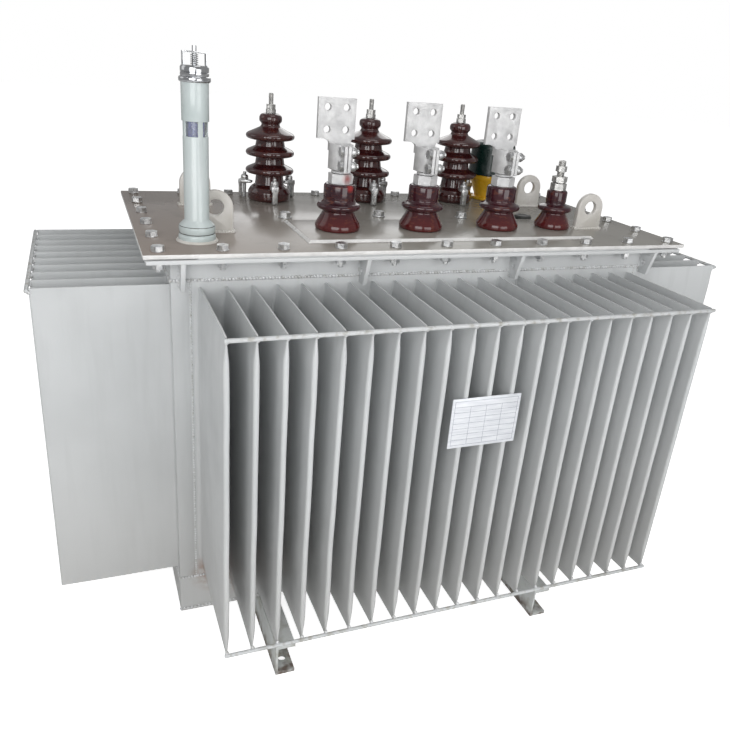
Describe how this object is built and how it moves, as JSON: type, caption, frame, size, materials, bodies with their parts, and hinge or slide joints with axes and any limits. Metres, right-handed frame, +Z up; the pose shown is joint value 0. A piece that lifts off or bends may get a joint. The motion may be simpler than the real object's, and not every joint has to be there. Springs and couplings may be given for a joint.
{
  "type": "oil-filled distribution transformer",
  "caption": "Sealed oil-filled distribution transformer: corrugated fin tank on channel skids, bolted cover with porcelain bushings, flag terminals, filling tube and lifting lugs.",
  "frame": {"origin": "on the floor, under the middle of the tank", "axes": "+X along the long side with the filling tube at the -X end, +Y from the low-voltage side to the high-voltage side, +Z up"},
  "size_m": [1.61, 1.054, 1.266],
  "materials": {
    "tank_paint": "satin light grey enamel",
    "cover_paint": "glossy warm grey enamel",
    "tube_paint": "glossy pale grey-green enamel",
    "gasket_rubber": "matt black",
    "zinc_steel": "zinc-plated, bright",
    "porcelain_glaze": "dark maroon-brown gloss glaze",
    "tinned_metal": "tinned, satin",
    "clear_glass": "clear gloss",
    "chrome_plate": "polished",
    "yellow_paint": "gloss",
    "green_paint": "gloss dark green",
    "black_plastic": "semi-gloss",
    "plate_metal": "anodised, satin"
  },
  "bodies": {
    "root": {"corner_posts": "tank_paint", "cover_gasket": "gasket_rubber", "cover_plate": "cover_paint", "end_fin_bars": "tank_paint", "filler_cap": "chrome_plate", "filler_cap_yoke": "chrome_plate", "filler_socket": "tube_paint", "filler_tube": "tube_paint", "flange_brackets": "tank_paint", "front_fin_wall": "tank_paint", "gasket_stop_strips": "zinc_steel", "hv_bushing_a": "porcelain_glaze", "hv_bushing_b": "porcelain_glaze", "hv_bushing_c": "porcelain_glaze", "hv_clamps": "zinc_steel", "hv_studs": "zinc_steel", "left_fin_wall": "tank_paint", "left_skid": "tank_paint", "lifting_lugs": "tank_paint", "long_side_fin_bars": "tank_paint", "lower_wall_band": "tank_paint", "lv_bushing_a": "porcelain_glaze", "lv_bushing_b": "porcelain_glaze", "lv_bushing_c": "porcelain_glaze", "lv_clamp_bolts": "zinc_steel", "lv_flag_terminal_a": "tinned_metal", "lv_flag_terminal_b": "tinned_metal", "lv_flag_terminal_c": "tinned_metal", "lv_pad": "cover_paint", "lv_studs": "tinned_metal", "neutral_bushing": "porcelain_glaze", "neutral_stud": "zinc_steel", "rating_plate": "plate_metal", "rear_fin_wall": "tank_paint", "relief_valve_body": "yellow_paint", "relief_valve_cap": "green_paint", "right_fin_wall": "tank_paint", "right_skid": "tank_paint", "sight_glass": "clear_glass", "tank_flange": "tank_paint", "tank_floor": "tank_paint", "tap_changer": "black_plastic", "thermometer_pocket": "black_plastic", "upper_wall_band": "tank_paint"}
  },
  "joints": []
}
